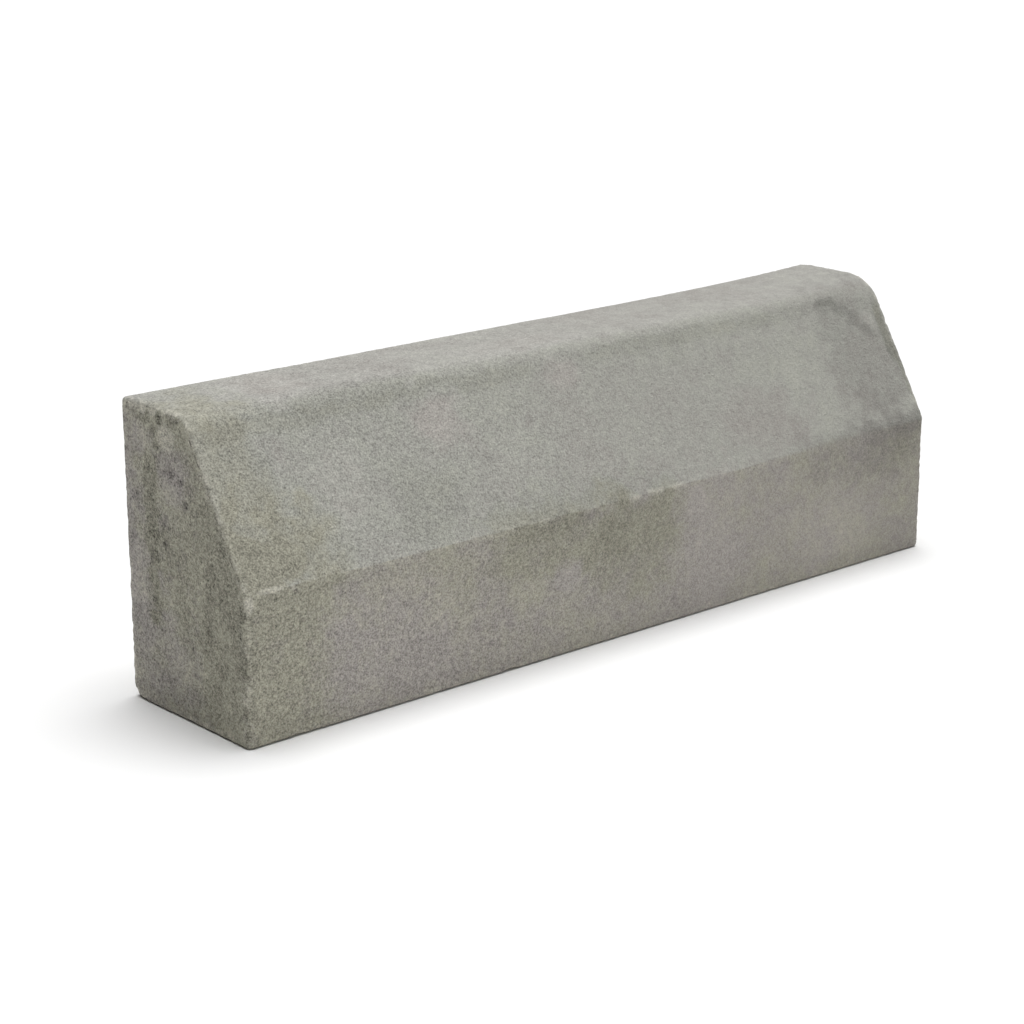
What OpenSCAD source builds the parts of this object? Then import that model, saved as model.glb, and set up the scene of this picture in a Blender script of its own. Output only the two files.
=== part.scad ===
// Concrete kerb stone, cast in one piece, lying on its bed.
// X runs along the kerb, the sloped street face looks to -Y and the upright back to +Y.
// Z = 0 is the bed. The origin is the middle of the bed's bounding rectangle.

/* [Stone] */
// Length from end to end
stone_l = 1000; // [500:5:1250]
// Depth of the bed, from the street face to the back
bed_d = 205; // [175:1:300]
// Height over the bed
stone_h = 320; // [270:1:450]

/* [Street face] */
// Height of the upright lower part of the street face
upright_h = 160; // [80:1:210]
// Depth of the flat top, measured to where the slope would meet it without a rounding
top_d = 110; // [80:1:140]

/* [Rounded edges] */
// Radius between the top and the slope
brow_r = 30; // [10:1:60]
// Radius between the slope and the upright lower part
knee_r = 5; // [5:0.5:20]
// Radius between the top and the back
crown_r = 9; // [5:0.5:20]
// Radius of the two long edges of the bed
bed_r = 5; // [5:0.5:15]
// Radius of the edges round both ends
end_r = 4; // [1:0.5:4.5]

/* [Hidden] */
$fn = 96;

front_y = -bed_d / 2;
back_y = bed_d / 2;
brow_y = back_y - top_d;
// A cutter reaches this far past the faces that it cuts.
spare = 20;
// A rounding stands this much proud where it runs out into a face, so that the two cross cleanly.
proud = 0.01;

// The section as [y, z] corners with the radius of each, counterclockwise from the front of the bed
SECTION = [
    [[front_y, 0], bed_r],
    [[back_y, 0], bed_r],
    [[back_y, stone_h], crown_r],
    [[brow_y, stone_h], brow_r],
    [[front_y, upright_h], knee_r],
];
SIDES = len(SECTION);

function corner(i) = SECTION[(i + SIDES) % SIDES][0];
function radius(i) = SECTION[i][1];
function unit(v) = v / norm(v);
function direction(v) = atan2(v[1], v[0]);

// The way along side i, which leaves corner i, and its angle
function along(i) = unit(corner(i + 1) - corner(i));
function side_angle(i) = direction(along(i));
// How far the outline turns at corner i
function turn(i) = acos(along(i - 1) * along(i));
// The points where the arc at corner i begins and ends, and its centre
function arc_begin(i) = corner(i) - along(i - 1) * radius(i) * tan(turn(i) / 2);
function arc_end(i) = corner(i) + along(i) * radius(i) * tan(turn(i) / 2);
function arc_centre(i) = corner(i) + unit(along(i) - along(i - 1)) * radius(i) / cos(turn(i) / 2);

// Stands an outline drawn in [y, z] upright and draws it out along X
module drawn_along(from, length) {
    translate([from, 0, 0])
        rotate([90, 0, 90])
            linear_extrude(length) children();
}

// The section with its corners rounded
module rounded_section() {
    union() {
        polygon([for (i = [0:SIDES - 1]) each [arc_begin(i), arc_end(i)]]);
        for (i = [0:SIDES - 1])
            translate(arc_centre(i)) circle(r = radius(i));
    }
}

// What a rounded edge leaves of a square one, outside an arc about the origin
module edge_waste(r) {
    difference() {
        square(r + spare);
        circle(r = r);
    }
}

// Rounds the end's edge along side i
module side_cutter(i) {
    reach = norm(corner(i + 1) - corner(i)) + 2 * spare;
    start = corner(i) - along(i) * spare;
    translate([0, start[0], start[1]])
        rotate([side_angle(i), 0, 0])
            translate([stone_l / 2 - end_r + proud, 0, end_r - proud])
                rotate([-90, 0, 0])
                    linear_extrude(reach) edge_waste(end_r);
}

// Rounds the end's edge along the arc at corner i
module arc_cutter(i) {
    translate([stone_l / 2 - end_r + proud, arc_centre(i)[0], arc_centre(i)[1]])
        rotate([90, 0, 90])
            rotate([0, 0, side_angle(i - 1) - 90])
                rotate_extrude(angle = turn(i))
                    translate([radius(i) - end_r + 2 * proud, 0]) edge_waste(end_r);
}

module end_cutters() {
    for (i = [0:SIDES - 1]) {
        side_cutter(i);
        arc_cutter(i);
    }
}

module kerb_stone() {
    color([0.60, 0.60, 0.56])
        difference() {
            drawn_along(-stone_l / 2, stone_l) rounded_section();
            end_cutters();
            mirror([1, 0, 0]) end_cutters();
        }
}

kerb_stone();
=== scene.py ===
"""The looks of a concrete kerb stone: one cast block with worn arrises, chips, stains and a sandy skin.

Lengths are in metres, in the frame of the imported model: X runs along the stone, the street face looks
to -Y and the bed is at Z = 0. Relief goes into the stone and the top only settles, so the visual mesh
stays inside the solid's box.
"""
import math

import bpy
import numpy as np
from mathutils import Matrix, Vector, geometry, noise


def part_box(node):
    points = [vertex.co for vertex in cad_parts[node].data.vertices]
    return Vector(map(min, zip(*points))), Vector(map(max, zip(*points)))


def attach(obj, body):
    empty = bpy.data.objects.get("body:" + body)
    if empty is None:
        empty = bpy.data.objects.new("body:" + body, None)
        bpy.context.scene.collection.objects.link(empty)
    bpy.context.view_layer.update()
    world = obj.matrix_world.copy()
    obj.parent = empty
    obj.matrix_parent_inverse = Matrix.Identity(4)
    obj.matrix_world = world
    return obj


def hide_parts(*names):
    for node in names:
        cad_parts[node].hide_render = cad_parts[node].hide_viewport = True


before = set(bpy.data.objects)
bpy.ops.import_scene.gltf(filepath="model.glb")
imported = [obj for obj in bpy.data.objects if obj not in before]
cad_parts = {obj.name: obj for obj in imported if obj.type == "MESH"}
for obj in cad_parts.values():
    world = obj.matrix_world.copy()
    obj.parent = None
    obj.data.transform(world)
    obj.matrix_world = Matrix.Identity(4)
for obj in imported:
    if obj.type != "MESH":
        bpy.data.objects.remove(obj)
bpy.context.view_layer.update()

MM = 0.001

# ---------------------------------------------------------------- the stone's size, as in the solid

LOW, HIGH = (np.array(corner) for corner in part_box("kerb_stone"))
LENGTH, DEPTH, HEIGHT = HIGH - LOW
LEFT, RIGHT = LOW[0], HIGH[0]
FRONT_Y, BACK_Y = LOW[1], HIGH[1]
UPRIGHT_H = 160 * MM
TOP_D = 110 * MM
BROW_Y = BACK_Y - TOP_D

# The section's corners (y, z): bed at the front, bed at the back, crown, brow and knee. Side i runs from
# corner i to the next one, so the sides are bed, back, top, slope and street face.
CORNERS = np.array([
    [FRONT_Y, 0.0],
    [BACK_Y, 0.0],
    [BACK_Y, HEIGHT],
    [BROW_Y, HEIGHT],
    [FRONT_Y, UPRIGHT_H],
])
SIDES = len(CORNERS)
BROW, KNEE = 3, 4

# ---------------------------------------------------------------- wear along the long arrises

# Radius of the rounding at places along the stone: (x, radius)
BED_WEAR = [(-0.50, 6 * MM), (0.50, 5 * MM)]
BROW_WEAR = [(-0.50, 26 * MM), (-0.30, 25 * MM), (0.30, 25 * MM), (0.42, 34 * MM), (0.50, 58 * MM)]
KNEE_WEAR = [(-0.50, 8 * MM), (-0.46, 5 * MM), (0.19, 5 * MM), (0.26, 14 * MM), (0.34, 60 * MM),
             (0.42, 36 * MM), (0.50, 12 * MM)]
CROWN_WEAR = [(-0.50, 7 * MM), (-0.40, 6 * MM), (0.30, 7 * MM), (0.50, 5 * MM)]
# Radius of each side's edge round the ends, and the least radius of each corner there
END_R = [5 * MM, 5 * MM, 4 * MM, 4 * MM, 8 * MM]
END_CORNER_R = [4 * MM, 4 * MM, 5 * MM, 5 * MM, 4 * MM]
# An arris rounder than the first value crumbles less: this share of the rest keeps the wear away
SHARP_R = 6 * MM
SHELTER = 0.5
# How far the knee and the brow stray from straight lines, and over what length
KNEE_WANDER = 2.0 * MM
KNEE_WAVE = 55 * MM
BROW_WANDER = 1.5 * MM
BROW_WAVE = 80 * MM

# How far the stone sags at places along its back arris, and along the knee: (x, drop)
SAG_BACK = [(-0.50, 0.0), (-0.25, 2.5 * MM), (0.00, 4.2 * MM), (0.20, 5.6 * MM), (0.36, 5.0 * MM),
            (0.45, 3.0 * MM), (0.50, 0.5 * MM)]
SAG_FRONT = [(-0.50, 0.0), (-0.25, 1.3 * MM), (0.00, 1.8 * MM), (0.25, 1.3 * MM), (0.50, 0.0)]
# Values given at places along the stone are evened out over this length, with this many samples
EVENING = 80 * MM
EVENING_SAMPLES = 9

# ---------------------------------------------------------------- noise

# Every kind of noise in the mesh has its own seed
KNEE_SEED = 3
BROW_SEED = 4
SWELL_SEED = 5
SKIN_SEED = 6
CRUMB_SEED = 7
PATCH_SEED = 8
RAGGED_SEED = 9
GOUGE_SEED = 10
STAIN_SEED = 21
# How far a seed of 1 moves the noise, how much each finer octave fades, and how much finer it is
SEED_SHIFT = (17.3, -9.1, 4.7)
ROUGHNESS = 0.7
LACUNARITY = 2.1

# ---------------------------------------------------------------- mesh density

# Steps round each corner's rounding, then spacing across each side: fine beside the arrises, coarse inside
ARC_STEPS = [7, 7, 9, 16, 8]
SIDE_FINE = 1.5 * MM
SIDE_COARSE = [9.0 * MM, 5.0 * MM, 4.4 * MM, 4.2 * MM, 4.2 * MM]
SIDE_ZONE = 9 * MM
# Spacing of the rings along the stone, fine near the ends
ROW_FINE = 1.9 * MM
ROW_COARSE = 3.1 * MM
ROW_ZONE = 60 * MM
# Steps round the ends' edges, and spacing of the points on the end faces
ROUND_STEPS = 5
END_SPACING = 3.3 * MM
# Points on an end face keep this share of the spacing away from its rim
RIM_SHARE = 0.6


def unit(v):
    return v / np.linalg.norm(v)


def graded(length, fine, coarse, zone):
    """Places from 0 to length, fine apart at both ends and coarse apart from zone inwards."""
    samples = 400
    s = np.linspace(0.0, length, samples)
    inward = np.clip(np.minimum(s, length - s) / zone, 0.0, 1.0)
    step = fine + (coarse - fine) * inward
    count = np.concatenate([[0.0], np.cumsum(np.diff(s) * 2 / (step[1:] + step[:-1]))])
    parts = max(2, int(round(count[-1])))
    return np.interp(np.linspace(0.0, count[-1], parts + 1), count, s)


def along_stone(places, x):
    """A value at each x, drawn between the given places and evened out."""
    where, value = zip(*places)
    offsets = np.linspace(-0.5, 0.5, EVENING_SAMPLES) * EVENING
    return np.mean([np.interp(x + offset, where, value) for offset in offsets], axis=0)


def rough(points, wavelength, seed, octaves=2):
    """Fractal noise of about -1 to 1 at each point, the same on every run."""
    shift = Vector([along * seed for along in SEED_SHIFT])
    rows = (points / wavelength).tolist()
    return np.array([noise.fractal(Vector(p) + shift, ROUGHNESS, LACUNARITY, octaves) for p in rows])


def rough_line(x, wavelength, seed, octaves=3):
    """The same noise along one line."""
    return rough(np.column_stack([x, np.zeros_like(x), np.zeros_like(x)]), wavelength, seed, octaves)


def smooth(t):
    """0 below 0, 1 above 1 and an even curve between."""
    t = np.clip(t, 0.0, 1.0)
    return t * t * (3.0 - 2.0 * t)


# ---------------------------------------------------------------- the base shape

DIRECTION = [unit(CORNERS[(i + 1) % SIDES] - CORNERS[i]) for i in range(SIDES)]
OUTWARD = [np.array([along[1], -along[0]]) for along in DIRECTION]
TURN = [math.acos(np.dot(DIRECTION[i - 1], DIRECTION[i])) for i in range(SIDES)]


def corner_paths(x, lean):
    """Where each corner of the section is in each ring, and its radius there.

    A ring leans from 0 on the straight part to a right angle on the end's face.
    """
    corners = np.repeat(CORNERS[None], len(x), axis=0)
    knee_noise = np.clip(rough_line(x, KNEE_WAVE, KNEE_SEED), -1, 1)
    corners[:, KNEE, 1] -= KNEE_WANDER * (0.5 + 0.5 * knee_noise)
    corners[:, BROW, 0] += BROW_WANDER * np.clip(rough_line(x, BROW_WAVE, BROW_SEED), -1, 1)
    radii = np.column_stack([
        along_stone(BED_WEAR, x),
        along_stone(BED_WEAR, x),
        along_stone(CROWN_WEAR, x),
        along_stone(BROW_WEAR, x),
        along_stone(KNEE_WEAR, x),
    ])
    for i in range(SIDES):
        both = np.array([END_R[i - 1], END_R[i]])
        shift = np.linalg.solve(np.array([OUTWARD[i - 1], OUTWARD[i]]), both)
        inset = 1 - np.cos(lean)
        corners[:, i] -= inset[:, None] * shift
        radii[:, i] = np.maximum(radii[:, i] - inset * both.mean(), END_CORNER_R[i])
    return corners, radii


def section_rows(x, lean):
    """Rings' points (rings, around, 2), the normals round them, each point's distance to the nearest
    sharp arris, and the radius of the end's rounding at each place round them."""
    corners, radii = corner_paths(x, lean)
    shelter = SHELTER * np.maximum(radii - SHARP_R, 0.0)
    points, normals, away, end_r = [], [], [], []
    for i in range(SIDES):
        following = (i + 1) % SIDES
        half = TURN[i] / 2
        inward = unit(DIRECTION[i] - DIRECTION[i - 1])
        centre = corners[:, i] + inward * (radii[:, i] / math.cos(half))[:, None]
        start = math.atan2(OUTWARD[i - 1][1], OUTWARD[i - 1][0])
        for k in range(ARC_STEPS[i]):
            turned = k / ARC_STEPS[i]
            angle = start + TURN[i] * turned
            normal = np.array([math.cos(angle), math.sin(angle)])
            points.append(centre + radii[:, i][:, None] * normal)
            normals.append(normal)
            away.append(shelter[:, i])
            end_r.append(END_R[i - 1] * (1 - turned) + END_R[i] * turned)
        setback = radii * np.tan(np.array(TURN) / 2)
        leave = corners[:, i] + DIRECTION[i] * setback[:, i][:, None]
        arrive = corners[:, following] - DIRECTION[i] * setback[:, following][:, None]
        length = np.linalg.norm(CORNERS[following] - CORNERS[i])
        for f in graded(length, SIDE_FINE, SIDE_COARSE[i], SIDE_ZONE)[:-1] / length:
            points.append(leave + (arrive - leave) * f)
            normals.append(OUTWARD[i])
            away.append(np.minimum(length * f + shelter[:, i], length * (1.0 - f) + shelter[:, following]))
            end_r.append(END_R[i])
    return np.stack(points, 1), np.array(normals), np.stack(away, 1), np.array(end_r)


def stone_rows():
    """All the rings round the stone, from the rim of the left end face to the rim of the right one."""
    reach = LENGTH / 2 - max(END_R)
    x = graded(2 * reach, ROW_FINE, ROW_COARSE, ROW_ZONE) - reach
    leans = [math.pi / 2 * k / ROUND_STEPS for k in range(ROUND_STEPS + 1)]
    row_x = np.concatenate([np.full(len(leans), LEFT), x, np.full(len(leans), RIGHT)])
    lean = np.concatenate([leans[::-1], np.zeros(len(x)), leans])
    outline, outward, away, end_r = section_rows(row_x, lean)
    rounding = (np.abs(row_x) > LENGTH / 2 - 0.5 * max(END_R))[:, None]
    side = np.sign(row_x)[:, None]
    px = row_x[:, None] - side * np.where(rounding, end_r * (1 - np.sin(lean)[:, None]), 0.0)
    points = np.concatenate([px[..., None], outline], axis=2)
    normals = np.empty_like(points)
    normals[..., 0] = side * np.sin(lean)[:, None]
    normals[..., 1:] = outward[None] * np.cos(lean)[:, None, None]
    to_end = np.maximum(LENGTH / 2 - np.abs(px) - min(END_R), 0.0)
    gap = np.minimum(away, to_end)
    return points, normals, gap


def end_fill(rim):
    """Points inside one end's rim on a staggered grid, their distance to it, and triangles that fill it."""
    low, high = rim.min(axis=0), rim.max(axis=0)
    inner = []
    rows = int((high[1] - low[1]) / (END_SPACING * math.sqrt(3) / 2))
    for r in range(1, rows):
        z = low[1] + r * (high[1] - low[1]) / rows
        y = np.arange(low[0] + END_SPACING * (0.5 + 0.5 * (r % 2)), high[0], END_SPACING)
        inner += [(value, z) for value in y]
    inner = np.array(inner)
    edges = np.roll(rim, -1, axis=0) - rim
    outward = np.column_stack([edges[:, 1], -edges[:, 0]]) / np.linalg.norm(edges, axis=1)[:, None]
    depth = -((inner[:, None] - rim[None]) * outward[None]).sum(axis=2).max(axis=1)
    clear = depth > RIM_SHARE * END_SPACING
    inner = inner[clear]
    depth = depth[clear]
    both = [Vector(p) for p in np.concatenate([rim, inner]).tolist()]
    inside_only = 1
    triangles = geometry.delaunay_2d_cdt(both, [], [list(range(len(rim)))], inside_only, 1e-7, False)[2]
    return inner, depth, triangles


def stone_surface():
    """Every point of the stone with its outward normal and distance to the nearest arris, and its faces."""
    points, normals, gap = stone_rows()
    rows, around = gap.shape
    faces = []
    for r in range(rows - 1):
        for a in range(around):
            b = (a + 1) % around
            faces.append((r * around + a, r * around + b, (r + 1) * around + b, (r + 1) * around + a))
    all_points, all_normals, all_gap = [points.reshape(-1, 3)], [normals.reshape(-1, 3)], [gap.ravel()]
    placed = rows * around
    for row, x in ((0, LEFT), (rows - 1, RIGHT)):
        inner, depth, triangles = end_fill(points[row, :, 1:])
        index = np.concatenate([row * around + np.arange(around), placed + np.arange(len(inner))])
        for t in triangles:
            corners = [int(index[i]) for i in t]
            faces.append(tuple(corners if x > 0 else reversed(corners)))
        all_points.append(np.column_stack([np.full(len(inner), x), inner]))
        all_normals.append(np.repeat([[math.copysign(1.0, x), 0.0, 0.0]], len(inner), axis=0))
        all_gap.append(depth)
        placed += len(inner)
    return np.concatenate(all_points), np.concatenate(all_normals), np.concatenate(all_gap), faces


# ---------------------------------------------------------------- relief

# Slow swells of each face and the sandy skin: how deep, and over what length
SWELL_DEPTH = 0.35 * MM
SWELL_WAVE = 110 * MM
SKIN_DEPTH = 0.16 * MM
SKIN_WAVE = 8 * MM
# Both fade to the given share at the bed, over this height
BED_SHARE = 0.2
BED_REACH = 6 * MM
# Crumbling of the arrises: how deep, how far from the arris, its grain and how much of it there is, and
# the length of the patches that it comes in and the least share between them
CRUMB_DEPTH = 1.1 * MM
CRUMB_REACH = 3.5 * MM
CRUMB_WAVE = 6.5 * MM
CRUMB_BIAS = 0.25
PATCH_WAVE = 70 * MM
PATCH_LEAST = 0.35
# Its share along the stone, and what is added within this distance of the ends
END_REACH = 12 * MM
LONG_WEAR = 0.55
END_WEAR = 0.75
# A chip's outline is uneven by this share, and its floor by this depth
RAGGED_SHARE = 0.42
RAGGED_WAVE = 9 * MM
GOUGE_DEPTH = 0.45 * MM
GOUGE_WAVE = 5 * MM
# How steeply a chip's wall falls, and the depth of a chip whose floor shows as fully broken
CHIP_STEEPNESS = 2.2
DEEP_CHIP = 2 * MM

# Chips: (x, y, z of the middle), half length along X, half size across, depth
CHIPS = [
    # the light spall where the knee meets the left end, and the crumbs beside it
    ((-0.494, FRONT_Y, 0.150), 8 * MM, 11 * MM, 1.8 * MM),
    ((-0.466, FRONT_Y, 0.160), 22 * MM, 4 * MM, 1.0 * MM),
    # the left end's top arris, broken from the back to half the depth of the top
    ((-0.500, 0.084, HEIGHT), 5 * MM, 11 * MM, 3.0 * MM),
    ((-0.500, 0.066, 0.314), 6 * MM, 10 * MM, 3.2 * MM),
    ((-0.500, 0.049, 0.316), 7 * MM, 8 * MM, 3.5 * MM),
    ((-0.500, 0.024, 0.292), 4 * MM, 17 * MM, 1.4 * MM),
    ((-0.498, 0.010, HEIGHT), 5 * MM, 9 * MM, 1.6 * MM),
    ((-0.500, -0.022, 0.298), 4 * MM, 7 * MM, 1.8 * MM),
    # the left end's sloped arris
    ((-0.500, -0.034, 0.277), 5 * MM, 6 * MM, 1.6 * MM),
    ((-0.500, -0.047, 0.252), 4 * MM, 5 * MM, 1.2 * MM),
    ((-0.500, -0.063, 0.228), 4 * MM, 6 * MM, 1.3 * MM),
    ((-0.500, -0.082, 0.196), 4 * MM, 5 * MM, 1.2 * MM),
    # the knee near mid-length
    ((0.020, FRONT_Y, 0.159), 12 * MM, 4 * MM, 0.9 * MM),
    ((0.052, FRONT_Y, 0.160), 16 * MM, 5 * MM, 1.1 * MM),
    ((0.085, FRONT_Y, 0.159), 9 * MM, 4 * MM, 0.8 * MM),
    ((-0.105, FRONT_Y, 0.159), 16 * MM, 3 * MM, 0.8 * MM),
    # the far top corner and the back's top arris
    ((0.497, -0.030, 0.300), 7 * MM, 10 * MM, 1.8 * MM),
    ((0.120, BACK_Y, HEIGHT), 16 * MM, 5 * MM, 1.6 * MM),
    ((-0.270, BACK_Y, HEIGHT), 10 * MM, 4 * MM, 1.2 * MM),
    ((0.500, BACK_Y, 0.230), 6 * MM, 12 * MM, 2.4 * MM),
    ((0.500, BACK_Y, HEIGHT), 12 * MM, 14 * MM, 1.6 * MM),
    # the left end's lower back corner
    ((LEFT, BACK_Y, 0.000), 9 * MM, 13 * MM, 3.5 * MM),
    # the right end and the back
    ((0.500, -0.040, 0.270), 5 * MM, 8 * MM, 1.8 * MM),
    ((0.500, 0.060, 0.000), 5 * MM, 14 * MM, 2.2 * MM),
    ((0.360, BACK_Y, 0.000), 22 * MM, 6 * MM, 2.0 * MM),
    ((-0.430, BACK_Y, HEIGHT), 9 * MM, 5 * MM, 1.5 * MM),
]
# Small chips placed by a seeded draw: how many, their half size, and their depth as a share of it
SEEDED_CHIPS = 34
CHIP_SEED = 11
CHIP_SIZE = (3, 7)
CHIP_DEPTH = (0.18, 0.30)


def seeded_chips():
    """Small chips scattered along the end arrises, the crown and the edges of the bed."""
    draw = np.random.default_rng(CHIP_SEED)
    chips = []
    for n in range(SEEDED_CHIPS):
        size = draw.uniform(*CHIP_SIZE) * MM
        depth = size * draw.uniform(*CHIP_DEPTH)
        if n % 2:
            y, z = CORNERS[draw.integers(0, 3)]
            chips.append(((draw.uniform(LEFT, RIGHT), y, z), size * draw.uniform(1.0, 2.5), size, depth))
        else:
            i = draw.integers(0, SIDES)
            side = CORNERS[(i + 1) % SIDES] - CORNERS[i]
            y, z = CORNERS[i] + side * draw.uniform(0.0, 1.0)
            end = (LEFT, RIGHT)[draw.integers(0, 2)]
            chips.append(((end, y, z), size * 0.8, size, depth))
    return chips


def sink(points, gap):
    """How deep the relief goes at each point, and how much of the surface there is broken."""
    off_bed = BED_SHARE + (1 - BED_SHARE) * smooth(points[:, 2] / BED_REACH)
    swell = SWELL_DEPTH * (1 + np.clip(rough(points, SWELL_WAVE, SWELL_SEED), -1, 1))
    skin = SKIN_DEPTH * (1 + np.clip(rough(points, SKIN_WAVE, SKIN_SEED), -1, 1))
    near_arris = np.exp(-((gap / CRUMB_REACH) ** 2))
    crumbs = np.clip(rough(points, CRUMB_WAVE, CRUMB_SEED, 3) + CRUMB_BIAS, 0, 1)
    patches = PATCH_LEAST + (1 - PATCH_LEAST) * smooth(rough(points, PATCH_WAVE, PATCH_SEED) + 0.5)
    at_end = smooth(1 - (LENGTH / 2 - np.abs(points[:, 0])) / END_REACH)
    worn = near_arris * crumbs * patches * (LONG_WEAR + END_WEAR * at_end)
    depth = (swell + skin) * off_bed + CRUMB_DEPTH * worn
    broken = np.clip(worn * 1.2, 0, 1)
    ragged = 1.0 + RAGGED_SHARE * rough(points, RAGGED_WAVE, RAGGED_SEED, 3)
    gouge = GOUGE_DEPTH * rough(points, GOUGE_WAVE, GOUGE_SEED, 3)
    for (middle, along, across, deep) in CHIPS + seeded_chips():
        offset = points - np.array(middle)
        offset[:, 0] /= along
        offset[:, 1:] /= across
        inside = 1.0 - np.linalg.norm(offset, axis=1) / ragged
        hole = smooth(inside * CHIP_STEEPNESS)
        depth = np.maximum(depth, hole * (deep + gouge) + depth * (1 - hole))
        broken = np.maximum(broken, hole * (0.6 + 0.4 * min(1.0, deep / DEEP_CHIP)))
    return np.clip(depth, 0.0, None), broken


def settle(points):
    """The stone's shallow sag along its length, as a drop in height: none at the bed, most at the top."""
    back = (points[:, 1] - FRONT_Y) / DEPTH
    front_drop = np.clip(points[:, 2] / UPRIGHT_H, 0, 1) * along_stone(SAG_FRONT, points[:, 0])
    back_drop = points[:, 2] / HEIGHT * along_stone(SAG_BACK, points[:, 0])
    return front_drop * (1 - back) + back_drop * back


# ---------------------------------------------------------------- stains

# A stain's outline is uneven by this share, over this length, and it is a box with corners this square
STAIN_RAGGED = 0.45
STAIN_WAVE = 30 * MM
STAIN_SQUARE = 3
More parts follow.
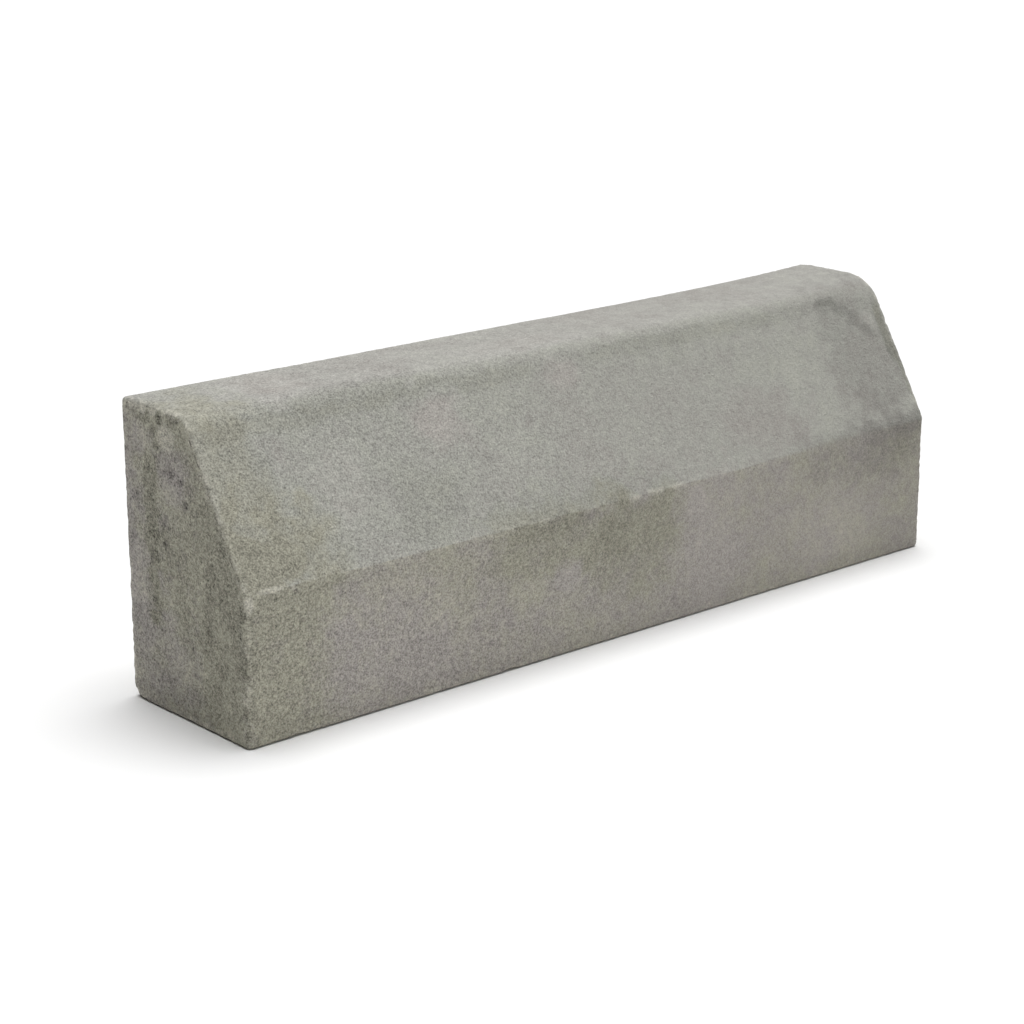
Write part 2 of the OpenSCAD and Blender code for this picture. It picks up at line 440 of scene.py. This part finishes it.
# Where the skin differs, and where shade is painted on it: middle (x, y, z), half length along X, half size
# across (or along Y and Z), lightness, olive
STAINS_AND_SHADE = [
    # top
    ((-0.47, 0.05, HEIGHT), 0.05, 0.05, -0.05, 0.15),
    ((-0.36, 0.05, HEIGHT), 0.05, 0.05, 0.03, -0.20),
    ((-0.05, 0.02, HEIGHT), 0.10, 0.03, 0.02, -0.15),
    # street slope
    ((-0.49, -0.06, 0.24), 0.09, 0.15, -0.07, 0.55),
    ((-0.42, -0.09, 0.19), 0.06, 0.05, -0.06, 0.50),
    ((-0.42, -0.03, 0.27), 0.03, 0.03, 0.00, -0.30),
    ((-0.35, -0.06, 0.23), 0.04, 0.05, 0.07, -0.10),
    ((-0.25, -0.08, 0.20), 0.05, 0.04, -0.08, 0.10),
    ((-0.29, -0.01, 0.31), 0.09, 0.02, -0.07, 0.20),
    ((-0.20, -0.03, 0.27), 0.035, 0.03, 0.09, -0.50),
    ((-0.12, -0.07, 0.22), 0.04, 0.04, 0.04, 0.00),
    ((-0.02, -0.02, 0.29), 0.03, 0.02, 0.05, -0.40),
    ((0.05, -0.07, 0.21), 0.05, 0.03, 0.04, 0.10),
    # a thin darker band that runs just below the brow
    ((-0.40, -0.021, 0.300), 0.09, 0.012, -0.05, 0.20),
    ((-0.16, -0.020, 0.300), 0.17, 0.010, -0.06, 0.20),
    ((0.14, -0.019, 0.302), 0.16, 0.009, -0.07, 0.15),
    ((0.34, -0.021, 0.300), 0.09, 0.011, -0.06, 0.10),
    ((0.15, -0.02, 0.29), 0.02, 0.02, -0.06, 0.05),
    ((0.25, -0.08, 0.20), 0.08, 0.045, -0.04, -0.30),
    ((0.32, -0.06, 0.24), 0.02, 0.02, 0.06, 0.05),
    ((0.45, -0.05, 0.25), 0.08, 0.11, -0.15, -0.10),
    ((0.412, -0.017, 0.304), 0.020, 0.006, -0.16, 0.15),
    ((0.429, -0.024, 0.292), 0.014, 0.009, -0.13, 0.05),
    ((0.442, -0.031, 0.280), 0.014, 0.009, -0.15, 0.00),
    ((0.457, -0.039, 0.266), 0.014, 0.010, -0.15, 0.00),
    ((0.470, -0.033, 0.276), 0.010, 0.011, 0.14, -0.10),
    ((0.488, -0.045, 0.257), 0.008, 0.040, -0.16, 0.55),
    ((0.495, -0.07, 0.21), 0.006, 0.04, -0.12, 0.40),
    # the light spall at the knee's left end and the crumbs beside it
    ((-0.493, FRONT_Y, 0.150), 0.009, 0.010, 0.18, -0.50),
    ((-0.466, FRONT_Y, 0.158), 0.024, 0.004, 0.14, -0.10),
    # street face
    ((-0.48, FRONT_Y, 0.08), 0.10, 0.16, -0.05, 0.50),
    ((-0.33, FRONT_Y, 0.08), 0.09, 0.08, 0.02, -0.30),
    ((-0.10, FRONT_Y, 0.14), 0.11, 0.05, -0.09, 0.60),
    ((0.02, FRONT_Y, 0.11), 0.075, 0.07, -0.08, 0.60),
    ((-0.10, FRONT_Y, 0.150), 0.06, 0.012, -0.10, 0.10),
    ((-0.13, FRONT_Y, 0.08), 0.03, 0.025, 0.07, 0.30),
    ((-0.08, FRONT_Y, 0.09), 0.02, 0.020, 0.05, -0.50),
    ((0.03, FRONT_Y, 0.125), 0.066, 0.035, -0.05, 0.30),
    ((0.115, FRONT_Y, 0.135), 0.016, 0.025, 0.06, -0.30),
    ((0.14, FRONT_Y, 0.08), 0.05, 0.10, 0.02, -0.40),
    ((0.23, FRONT_Y, 0.10), 0.05, 0.07, -0.02, -0.20),
    ((0.40, FRONT_Y, 0.14), 0.14, 0.040, -0.14, 0.05),
    ((0.36, FRONT_Y, 0.05), 0.10, 0.05, 0.03, -0.25),
    ((0.460, FRONT_Y, 0.08), 0.09, 0.13, -0.10, -0.10),
    # left end: streaks and patches
    ((LEFT, 0.054, 0.18), 0.05, (0.013, 0.09), -0.22, 0.70),
    ((LEFT, 0.094, 0.18), 0.05, (0.010, 0.14), -0.06, -0.40),
    # painted shade: a dark strip along the rounded back arris of the left end, which turns away from the
    # light
    ((LEFT, BACK_Y, 0.20), 0.02, (0.006, 0.14), -0.12, -0.20),
    ((LEFT, 0.072, 0.285), 0.05, (0.016, 0.02), 0.02, -0.50),
    ((LEFT, 0.012, 0.25), 0.05, (0.030, 0.035), 0.12, -0.60),
    ((LEFT, 0.082, 0.14), 0.05, (0.016, 0.05), 0.10, -0.20),
    ((LEFT, -0.015, 0.155), 0.05, (0.025, 0.035), 0.08, -0.30),
    ((LEFT, 0.000, 0.064), 0.05, (0.040, 0.025), 0.06, -0.25),
    ((LEFT, 0.010, 0.300), 0.05, (0.028, 0.014), 0.02, 0.70),
    ((LEFT, -0.066, 0.12), 0.05, (0.038, 0.11), -0.06, 0.90),
    ((LEFT, 0.030, 0.030), 0.05, (0.06, 0.014), -0.05, -0.35),
    # left end: dark spots as painted shade in its pits, and the rim round its loose flake
    ((LEFT, 0.048, 0.291), 0.01, (0.006, 0.012), -0.34, 0.10),
    ((LEFT, 0.043, 0.281), 0.01, (0.008, 0.005), -0.34, 0.10),
    ((LEFT, 0.060, 0.306), 0.01, (0.012, 0.006), -0.25, 0.10),
    ((LEFT, 0.035, 0.308), 0.01, (0.005, 0.008), -0.40, 0.10),
    ((LEFT, 0.083, 0.309), 0.01, (0.010, 0.008), -0.15, 0.00),
    ((LEFT, 0.048, 0.311), 0.01, (0.009, 0.007), 0.22, -0.20),
    ((LEFT, 0.068, 0.311), 0.01, (0.008, 0.006), 0.14, 0.10),
    ((LEFT, 0.034, 0.290), 0.01, (0.007, 0.009), 0.14, -0.20),
    ((LEFT, 0.010, 0.312), 0.01, (0.012, 0.005), -0.25, 0.10),
    ((LEFT, 0.000, 0.251), 0.01, 0.006, -0.32, 0.00),
    ((LEFT, -0.006, 0.230), 0.01, 0.006, -0.34, 0.00),
    ((LEFT, 0.020, 0.258), 0.01, (0.010, 0.005), -0.20, 0.00),
    ((LEFT, 0.053, 0.118), 0.01, 0.006, -0.30, 0.00),
    ((LEFT, 0.028, 0.181), 0.01, 0.006, -0.25, 0.00),
    # left end: small pores by its lower corners, darkened as painted shade in them
    ((LEFT, 0.0985, 0.012), 0.01, 0.004, -0.40, 0.00),
    ((LEFT, -0.098, 0.013), 0.01, 0.004, -0.35, 0.00),
    # left end: dark crumbs beside its street arris
    ((LEFT, -0.096, 0.138), 0.01, (0.006, 0.014), -0.28, 0.10),
    ((LEFT, -0.095, 0.106), 0.01, (0.005, 0.022), -0.18, 0.10),
    ((LEFT, -0.096, 0.070), 0.01, (0.005, 0.016), -0.24, 0.10),
    ((LEFT, -0.096, 0.035), 0.01, (0.005, 0.012), -0.18, 0.10),
    # right end
    ((RIGHT, 0.03, 0.22), 0.02, (0.06, 0.07), -0.08, 0.40),
    ((RIGHT, -0.05, 0.10), 0.02, (0.04, 0.06), 0.06, -0.40),
    ((RIGHT, 0.05, 0.05), 0.02, (0.05, 0.03), -0.07, -0.20),
    ((RIGHT, 0.075, 0.15), 0.02, (0.012, 0.08), 0.07, -0.30),
    # back
    ((-0.35, BACK_Y, 0.18), 0.12, 0.09, -0.07, 0.50),
    ((-0.12, BACK_Y, 0.10), 0.10, 0.07, 0.06, -0.40),
    ((0.10, BACK_Y, 0.22), 0.15, 0.06, -0.08, 0.55),
    ((0.32, BACK_Y, 0.12), 0.12, 0.09, 0.05, -0.35),
    ((0.02, BACK_Y, 0.03), 0.30, 0.025, -0.09, 0.20),
    ((0.42, BACK_Y, 0.26), 0.06, 0.04, -0.06, 0.30),
    ((-0.20, BACK_Y, 0.29), 0.14, 0.018, -0.07, 0.15),
]


def stain_and_shade_marks(points):
    """Lightness and olive tint of the placed stains and painted shade at each point."""
    light = np.zeros(len(points))
    olive = np.zeros(len(points))
    ragged = 1.0 + STAIN_RAGGED * rough(points, STAIN_WAVE, STAIN_SEED, 3)
    for (middle, along, across, lightness, tint) in STAINS_AND_SHADE:
        offset = points - np.array(middle)
        offset[:, 0] /= along
        offset[:, 1:] /= across
        far = (np.abs(offset) ** STAIN_SQUARE).sum(axis=1) ** (1 / STAIN_SQUARE)
        # full to the middle half, then fading out a little past the edge
        mark = smooth(1.8 - 1.6 * far / ragged)
        light += lightness * mark
        olive += tint * mark
    return light, olive


# ---------------------------------------------------------------- the mesh


def add_stone():
    """The whole stone as one mesh, with what its material needs to know at each point."""
    points, normals, gap, faces = stone_surface()
    depth, broken = sink(points, gap)
    light, olive = stain_and_shade_marks(points)
    shaped = points - normals * depth[:, None]
    shaped[:, 2] -= settle(points)
    shaped[:, 2] = np.maximum(shaped[:, 2], 0.0)
    mesh = bpy.data.meshes.new("kerb_cast")
    mesh.from_pydata(shaped.tolist(), [], faces)
    mesh.polygons.foreach_set("use_smooth", [True] * len(mesh.polygons))
    marks = {"broken": broken, "light": light, "olive": olive, "upward": normals[:, 2],
             "endward": np.abs(normals[:, 0])}
    for name, values in marks.items():
        mesh.attributes.new(name, "FLOAT", "POINT").data.foreach_set("value", values.astype(np.float32))
    mesh.validate()
    mesh.update()
    stone = bpy.data.objects.new("kerb_cast", mesh)
    bpy.context.collection.objects.link(stone)
    return stone


# ---------------------------------------------------------------- the concrete

PALE_GREEN = (0.388, 0.390, 0.352)
LEVEL_GREY = (0.391, 0.389, 0.362)
MAUVE = (0.396, 0.371, 0.344)
OLIVE = (0.382, 0.371, 0.300)
CREAM = (0.560, 0.540, 0.470)

# The material's noises: wavelength, seed, detail, roughness, and how far each is drawn out along X, Y, Z
NOISES = {
    "clouds": (160 * MM, 1, 2, 0.5, (1, 1, 1)),
    "mottle": (32 * MM, 2, 4, 0.6, (1, 1, 1)),
    "blotch": (11 * MM, 3, 3, 0.6, (1, 1, 1)),
    "coarse": (4.5 * MM, 4, 2, 0.6, (1, 1, 1)),
    "grain": (1.8 * MM, 5, 2, 0.5, (1, 1, 1)),
    "streak": (16 * MM, 6, 3, 0.5, (1, 1, 7)),
    "brushed": (5 * MM, 7, 3, 0.5, (6, 1, 1)),
    "pitting": (3.4 * MM, 8, 2, 0.5, (1, 1, 1)),
    "fracture": (3.0 * MM, 9, 3, 0.7, (1, 1, 1)),
    "sanding": (2.8 * MM, 10, 1, 0.5, (1, 1, 1)),
}
# Pits and sand grains are where their noise rises through this band
SPOT_BAND = (0.12, 0.22)
# Round pores: size of a cell, shift of the pattern, radius, and share of the cells that hold one
PORES = (14 * MM, 0.37, 1.1 * MM, 0.10)

# How much of each part goes into the lightness everywhere, its fine texture, and on the ends and the top
# The pores' negative weight is painted shade inside them
TONE = {"clouds": 0.16, "mottle": 0.25, "blotch": 0.30, "pores": -0.25, "broken": 0.12}
TEXTURE = {"coarse": 0.66, "grain": 1.65, "sand": 0.12}
END_TONE = {"streak": 0.30, "mottle": 0.50, "blotch": 0.50}
# Painted shade: the ends are made a little darker, as they get less light than the other faces
END_PAINTED_SHADE = -0.01
TOP_TONE = {"brushed": 0.14, "mottle": 0.12, "blotch": 0.12}
# Painted shade: the pits are darkened by this much, as the shade inside them
PIT_PAINTED_SHADE = -0.30
DARKEST = 0.15
# How much of each part goes into the tint
DRIFT = {"clouds": 1.6, "mottle": 1.8, "blotch": 1.2, "grain": 0.6}
# How much of each part goes into the height of the bump, and how high it stands
HEIGHTS = {"grain": 0.55, "coarse": 0.9, "blotch": 0.8, "sand": 0.12, "pores": -0.6}
PIT_HEIGHT = -0.5
FRACTURE_HEIGHT = 1.6
BUMP_DISTANCE = 1.3 * MM


class Nodes:
    """A short way to write one material's nodes: an input is a number, a colour or another node's output."""

    def __init__(self, name):
        self.material = bpy.data.materials.new(name)
        self.material.use_nodes = True
        self.tree = self.material.node_tree
        self.shader = self.tree.nodes["Principled BSDF"]
        self.place = self.add("ShaderNodeTexCoord").outputs["Object"]

    def put(self, socket, value):
        if isinstance(value, bpy.types.NodeSocket):
            self.tree.links.new(value, socket)
        else:
            socket.default_value = value

    def add(self, kind, inputs=None, **settings):
        node = self.tree.nodes.new(kind)
        for name, value in settings.items():
            setattr(node, name, value)
        for name, value in (inputs or {}).items():
            self.put(node.inputs[name], value)
        return node

    def math(self, operation, a, b, clamp=False):
        return self.add("ShaderNodeMath", {0: a, 1: b}, operation=operation, use_clamp=clamp).outputs[0]

    def sum(self, *values):
        total = values[0]
        for value in values[1:]:
            total = self.math("ADD", total, value)
        return total

    def clamped(self, value):
        return self.math("ADD", value, 0.0, clamp=True)

    def scaled(self, value, factor):
        return self.math("MULTIPLY", value, factor)

    def weighted(self, parts, weights):
        """The sum of the named parts, each times its weight."""
        return self.sum(*(self.scaled(parts[name], weight) for name, weight in weights.items()))

    def noise(self, wavelength, seed, detail, roughness, stretch):
        """Noise of about -0.5 to 0.5 with features of the given size, drawn out along the axes."""
        squeezed = self.add("ShaderNodeVectorMath", {0: self.place, 1: [1 / along for along in stretch]},
                            operation="MULTIPLY").outputs[0]
        fac = self.add("ShaderNodeTexNoise", {
            "Vector": squeezed, "W": float(seed), "Scale": 1.0 / wavelength,
            "Detail": float(detail), "Roughness": roughness,
        }, noise_dimensions="4D").outputs["Fac"]
        return self.math("SUBTRACT", fac, 0.5)

    def attribute(self, name):
        return self.add("ShaderNodeAttribute", attribute_name=name).outputs["Fac"]

    def ramp(self, value, low, high, to_low=0.0, to_high=1.0):
        return self.add("ShaderNodeMapRange", {
            "Value": value, "From Min": low, "From Max": high, "To Min": to_low, "To Max": to_high,
        }, interpolation_type="SMOOTHSTEP").outputs["Result"]

    def mix(self, factor, a, b):
        node = self.add("ShaderNodeMix", data_type="RGBA")
        self.put(node.inputs[0], factor)
        for socket, colour in ((node.inputs[6], a), (node.inputs[7], b)):
            self.put(socket, (*colour, 1.0) if isinstance(colour, tuple) else colour)
        return node.outputs[2]

    def specks(self, cell, seed, radius, share):
        """Round specks in at most the given share of the cells: 1 well inside one, 0 outside."""
        shifted = self.add("ShaderNodeVectorMath", {0: self.place, 1: (seed, seed, seed)}, operation="ADD")
        cells = self.add("ShaderNodeTexVoronoi", {"Vector": shifted.outputs[0], "Scale": 1.0 / cell})
        chosen = self.ramp(self.add("ShaderNodeSeparateColor", {0: cells.outputs["Color"]}).outputs[0],
                           1 - share, 1 - share * 0.5)
        size = self.scaled(chosen, radius / cell)
        return self.ramp(self.math("SUBTRACT", size, cells.outputs["Distance"]), -0.03, 0.06)


def concrete_parts(n):
    """What the concrete is mixed from: its noises, its spots and the marks that the mesh carries."""
    parts = {name: n.noise(*values) for name, values in NOISES.items()}
    parts["pits"] = n.ramp(parts["pitting"], *SPOT_BAND)
    parts["sand"] = n.ramp(parts["sanding"], *SPOT_BAND)
    parts["pores"] = n.specks(*PORES)
    for name in ("broken", "light", "olive", "upward", "endward"):
        parts[name] = n.attribute(name)
    return parts


def concrete_masks(n, parts):
    """Where on the stone each finish is: 1 there and 0 elsewhere, or a strength."""
    level = n.ramp(parts["upward"], 0.75, 0.95)
    struck = n.ramp(parts["upward"], 0.20, 0.45)
    ends = n.ramp(parts["endward"], 0.5, 0.9)
    along = n.add("ShaderNodeSeparateXYZ", {0: n.place}).outputs["X"]
    near_left = n.ramp(along, -0.38, -0.48)
    beside = n.math("SUBTRACT", 1.0, struck)
    # the texture is stronger to the left, and on the sides and ends than on the slope and top
    fading = n.ramp(along, -0.45, 0.40, 1.0, 0.36)
    coarser = n.sum(fading, n.scaled(near_left, 0.10), n.scaled(beside, 0.22))
    pitted = n.sum(0.12, n.scaled(ends, 0.35), n.scaled(near_left, 0.35))
    return {"level": level, "struck": struck, "ends": ends, "coarser": coarser, "pitted": pitted}


def concrete_tone(n, parts, masks):
    """Lightness, where 1 is the plain skin; the pits, the pores and the ends are darkened a little as
    painted shade.
    """
    end_tone = n.sum(END_PAINTED_SHADE, n.weighted(parts, END_TONE))
    tone = n.sum(
        1.0, parts["light"], n.weighted(parts, TONE),
        n.math("MULTIPLY", n.weighted(parts, TEXTURE), masks["coarser"]),
        n.math("MULTIPLY", end_tone, masks["ends"]),
        n.math("MULTIPLY", n.weighted(parts, TOP_TONE), masks["level"]),
        n.math("MULTIPLY", n.scaled(parts["pits"], PIT_PAINTED_SHADE), masks["pitted"]),
    )
    return n.math("MAXIMUM", tone, DARKEST)


def concrete_colour(n, parts, masks):
    """Pale green or grey on the slope and top, mauve grey to olive on the sides, cream where broken."""
    drift = n.weighted(parts, DRIFT)
    side_olive = n.clamped(n.sum(0.42, parts["olive"], drift, n.scaled(parts["streak"], 0.2)))
    top_olive = n.clamped(n.sum(parts["olive"], n.scaled(drift, 0.35)))
    top_mauve = n.clamped(n.sum(0.22, n.scaled(parts["olive"], -1.2), n.scaled(drift, -0.6),
                                n.scaled(masks["level"], 0.08)))
    cast_grey = n.mix(masks["level"], PALE_GREEN, LEVEL_GREY)
    top_colour = n.mix(top_olive, n.mix(top_mauve, cast_grey, MAUVE), OLIVE)
    skin = n.mix(masks["struck"], n.mix(side_olive, MAUVE, OLIVE), top_colour)
    return n.mix(n.scaled(parts["broken"], 0.75), skin, CREAM)


def concrete_bump(n, parts, masks):
    """The normal of the sandy, pitted skin, rougher where the stone is broken."""
    height = n.sum(
        n.weighted(parts, HEIGHTS),
        n.math("MULTIPLY", n.scaled(parts["pits"], PIT_HEIGHT), masks["pitted"]),
        n.math("MULTIPLY", parts["fracture"], n.scaled(parts["broken"], FRACTURE_HEIGHT)),
    )
    bump = n.add("ShaderNodeBump", {"Strength": 1.0, "Distance": BUMP_DISTANCE, "Height": height})
    return bump.outputs["Normal"]


def concrete():
    n = Nodes("concrete")
    parts = concrete_parts(n)
    masks = concrete_masks(n, parts)
    toned = n.add("ShaderNodeVectorMath", {
        0: concrete_colour(n, parts, masks), 3: concrete_tone(n, parts, masks),
    }, operation="SCALE")
    n.put(n.shader.inputs["Base Color"], toned.outputs[0])
    n.put(n.shader.inputs["Roughness"], n.ramp(parts["grain"], -0.3, 0.3, 0.98, 0.84))
    n.shader.inputs["Specular IOR Level"].default_value = 0.25
    n.put(n.shader.inputs["Normal"], concrete_bump(n, parts, masks))
    return n.material


stone = add_stone()
stone.data.materials.append(concrete())
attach(stone, "root")
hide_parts("kerb_stone")

# ---------------------------------------------------------------- floor, light and camera

FLOOR_REACH = 30.0
FLOOR_GREY = (0.93, 0.93, 0.93, 1.0)
WHITE = (1.0, 1.0, 1.0, 1.0)
# Each soft lamp: direction that it shines in, how wide it is in degrees, and strength
OVERHEAD = ((-0.13, -0.06, -1.0), 50, 3.4)
FILL = ((-0.50, 0.85, -0.20), 60, 0.46)
WORLD_LIGHT = 0.04
WORLD_BACKDROP = 1.0
# The camera: its place, how far it looks down, its turn from the +Y direction in degrees, and its lens
CAMERA_PLACE = (-1.8708, -2.0593, 0.9767)
CAMERA_DOWN = 17.11
CAMERA_TURN = -41.18
LENS_MM = 92.0
SENSOR_MM = 36.0


def add_floor():
    """A plain pale floor that reaches past the camera's view."""
    reach = FLOOR_REACH
    corners = [(-reach, -reach, 0.0), (reach, -reach, 0.0), (reach, reach, 0.0), (-reach, reach, 0.0)]
    floor_mesh = bpy.data.meshes.new("floor")
    floor_mesh.from_pydata(corners, [], [(0, 1, 2, 3)])
    floor = bpy.data.objects.new("floor", floor_mesh)
    bpy.context.collection.objects.link(floor)
    pale = bpy.data.materials.new("pale_floor")
    pale.use_nodes = True
    shader = pale.node_tree.nodes["Principled BSDF"]
    shader.inputs["Base Color"].default_value = FLOOR_GREY
    shader.inputs["Roughness"].default_value = 1.0
    shader.inputs["Specular IOR Level"].default_value = 0.0
    floor_mesh.materials.append(pale)


def add_soft_sun(name, towards, spread_degrees, strength):
    """A very wide, soft lamp far away, shining along the given direction."""
    data = bpy.data.lights.new(name, "SUN")
    data.angle = math.radians(spread_degrees)
    data.energy = strength
    lamp = bpy.data.objects.new(name, data)
    lamp.rotation_euler = Vector(towards).to_track_quat("-Z", "Y").to_euler()
    bpy.context.collection.objects.link(lamp)


def add_world(light, backdrop):
    """A white world that lights the stone faintly, and shows white where a view sees past the floor."""
    world = bpy.data.worlds.new("studio")
    bpy.context.scene.world = world
    world.use_nodes = True
    nodes = world.node_tree.nodes
    background = nodes["Background"]
    background.inputs["Color"].default_value = WHITE
    strength = nodes.new("ShaderNodeMapRange")
    strength.inputs["To Min"].default_value = light
    strength.inputs["To Max"].default_value = backdrop
    seen = nodes.new("ShaderNodeLightPath").outputs["Is Camera Ray"]
    world.node_tree.links.new(seen, strength.inputs["Value"])
    world.node_tree.links.new(strength.outputs["Result"], background.inputs["Strength"])


def add_camera():
    """Looks down a little at the street face and the left end, with a long lens."""
    data = bpy.data.cameras.new("camera")
    data.lens = LENS_MM
    data.sensor_width = SENSOR_MM
    camera = bpy.data.objects.new("camera", data)
    camera.location = CAMERA_PLACE
    camera.rotation_euler = (math.radians(90.0 - CAMERA_DOWN), 0.0, math.radians(CAMERA_TURN))
    bpy.context.collection.objects.link(camera)
    bpy.context.scene.camera = camera


add_floor()
add_soft_sun("overhead", *OVERHEAD)
add_soft_sun("fill", *FILL)
add_world(WORLD_LIGHT, WORLD_BACKDROP)
add_camera()
bpy.context.scene.view_settings.view_transform = "Standard"
